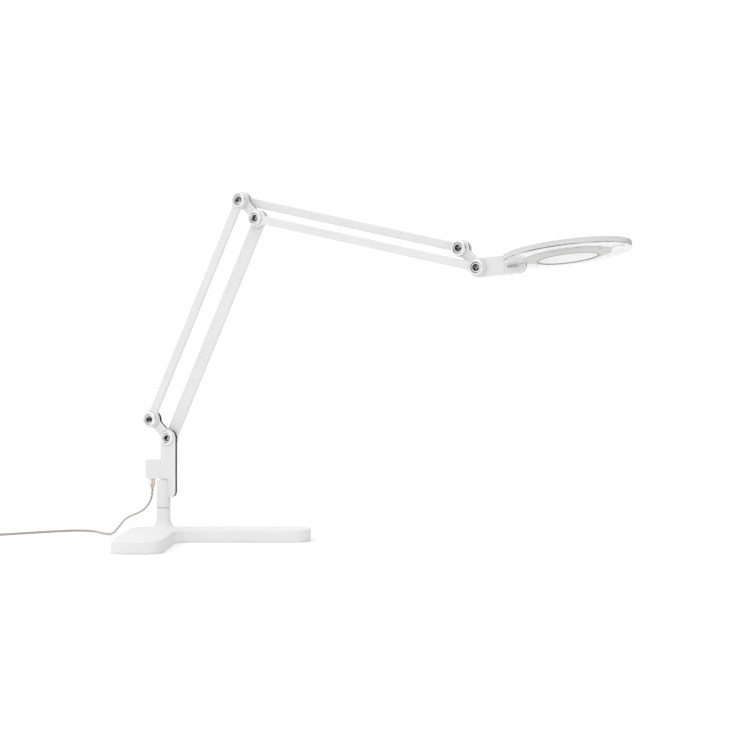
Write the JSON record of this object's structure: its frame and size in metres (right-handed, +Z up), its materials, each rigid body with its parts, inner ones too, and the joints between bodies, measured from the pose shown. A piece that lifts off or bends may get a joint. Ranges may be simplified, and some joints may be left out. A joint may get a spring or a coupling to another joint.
{
  "type": "swing arm desk lamp",
  "caption": "Desk lamp with two parallelogram arms on a swivelling post, a flat L base, an edge-lit ring head that stays level and twists, and a lead with a plug-in adapter.",
  "frame": {"origin": "on the surface the lamp stands on, under the axis of the post", "axes": "+Z up; +X from the post towards the head, in the plane of the arms; -Y is the front, where the polished pivot caps are"},
  "size_m": [0.9531, 0.295, 0.4434],
  "materials": {
    "casting_paint": "satin white powder coat",
    "arm_paint": "satin white powder coat",
    "polished_metal": "polished",
    "steel": "zinc plated",
    "washer_polymer": "natural",
    "black_rubber": "matte",
    "clear_acrylic": "polished clear",
    "reflector_white": "matte film",
    "hub_metal": "satin white",
    "led_board_white": "solder mask",
    "led_phosphor": "lens",
    "circuit_board": "solder mask",
    "board_parts": "moulded",
    "flat_wire": "flat cable",
    "lead_jacket": "clear jacket over copper braid",
    "lead_mouldings": "clear moulded",
    "tie_black": "woven",
    "adapter_shell": "fine texture",
    "blade_metal": "nickel plated"
  },
  "bodies": {
    "base": {"base_casting": "casting_paint", "base_pad": "black_rubber", "spindle": "steel", "spindle_clip": "steel", "swivel_ring": "black_rubber", "lead": "lead_jacket", "lead_tail": "lead_jacket", "lead_coil": "lead_jacket", "coil_tie": "tie_black", "power_adapter": "adapter_shell", "adapter_relief": "adapter_shell", "adapter_blades": "blade_metal"},
    "swivel": {"post_sleeve": "arm_paint", "swivel_bush": "washer_polymer", "post_cap": "arm_paint", "bracket_plate": "arm_paint", "bracket_dowels": "steel", "shoulder_caps": "polished_metal", "shoulder_screws": "steel", "shoulder_nuts": "steel", "shoulder_washers": "washer_polymer", "driver_housing": "arm_paint", "housing_cover": "arm_paint", "housing_screws": "steel", "driver_board": "circuit_board", "driver_parts": "board_parts", "power_socket": "board_parts", "lead_plug": "lead_mouldings", "plug_relief": "lead_mouldings"},
    "lower_arm": {"lower_main_bar": "arm_paint", "lower_wire": "flat_wire"},
    "lower_rod": {"lower_slim_bar": "arm_paint"},
    "elbow": {"elbow_link": "arm_paint", "elbow_caps": "polished_metal", "elbow_screws": "steel", "elbow_nuts": "steel", "elbow_washers": "washer_polymer"},
    "upper_arm": {"upper_main_bar": "arm_paint", "upper_wire": "flat_wire"},
    "upper_rod": {"upper_slim_bar": "arm_paint"},
    "wrist": {"wrist_plate": "arm_paint", "wrist_boss": "arm_paint", "wrist_caps": "polished_metal", "wrist_screws": "steel", "wrist_nuts": "steel", "wrist_washers": "washer_polymer"},
    "head": {"knuckle": "arm_paint", "knuckle_pin": "steel", "knuckle_grommet": "black_rubber", "knuckle_screws": "steel", "light_guide": "clear_acrylic", "reflector_film": "reflector_white", "head_top_plate": "arm_paint", "hub_ring": "hub_metal", "guide_retainer": "hub_metal", "retainer_screws": "steel", "led_strip": "led_board_white", "led_chips": "led_phosphor", "touch_dimmer": "polished_metal"}
  },
  "joints": [
    {"name": "base_swivel", "type": "hinge", "parent": "base", "child": "swivel", "pos_m": [0, 0, 0.05], "axis": [0, 0, 1], "range_deg": [-120, 120]},
    {"name": "shoulder", "type": "hinge", "parent": "swivel", "child": "lower_arm", "pos_m": [0.0075, 0, 0.1323], "axis": [0, -1, 0], "range_deg": [-45, 40]},
    {"name": "slim_rod_pivot", "type": "hinge", "parent": "swivel", "child": "lower_rod", "pos_m": [-0.0154, 0, 0.156], "axis": [0, -1, 0], "range_deg": [-45, 40]},
    {"name": "elbow_levelling", "type": "hinge", "parent": "lower_arm", "child": "elbow", "pos_m": [0.13709, 0, 0.40895], "axis": [0, -1, 0], "range_deg": [-40, 45]},
    {"name": "elbow_fold", "type": "hinge", "parent": "elbow", "child": "upper_arm", "pos_m": [0.13709, 0, 0.40895], "axis": [0, -1, 0], "range_deg": [-4, 100]},
    {"name": "upper_rod_pivot", "type": "hinge", "parent": "elbow", "child": "upper_rod", "pos_m": [0.11419, 0, 0.43265], "axis": [0, -1, 0], "range_deg": [-4, 100]},
    {"name": "wrist_levelling", "type": "hinge", "parent": "upper_arm", "child": "wrist", "pos_m": [0.435, 0, 0.34127], "axis": [0, -1, 0], "range_deg": [-100, 4]},
    {"name": "head_twist", "type": "hinge", "parent": "wrist", "child": "head", "pos_m": [0.435, 0, 0.34127], "axis": [0.9969, 0, 0.0785], "range_deg": [-90, 90]}
  ],
  "couplings": [
    {"joint": "slim_rod_pivot", "follows": "shoulder", "ratio": 1},
    {"joint": "elbow_levelling", "follows": "shoulder", "ratio": -1},
    {"joint": "upper_rod_pivot", "follows": "elbow_fold", "ratio": 1},
    {"joint": "wrist_levelling", "follows": "elbow_fold", "ratio": -1}
  ]
}
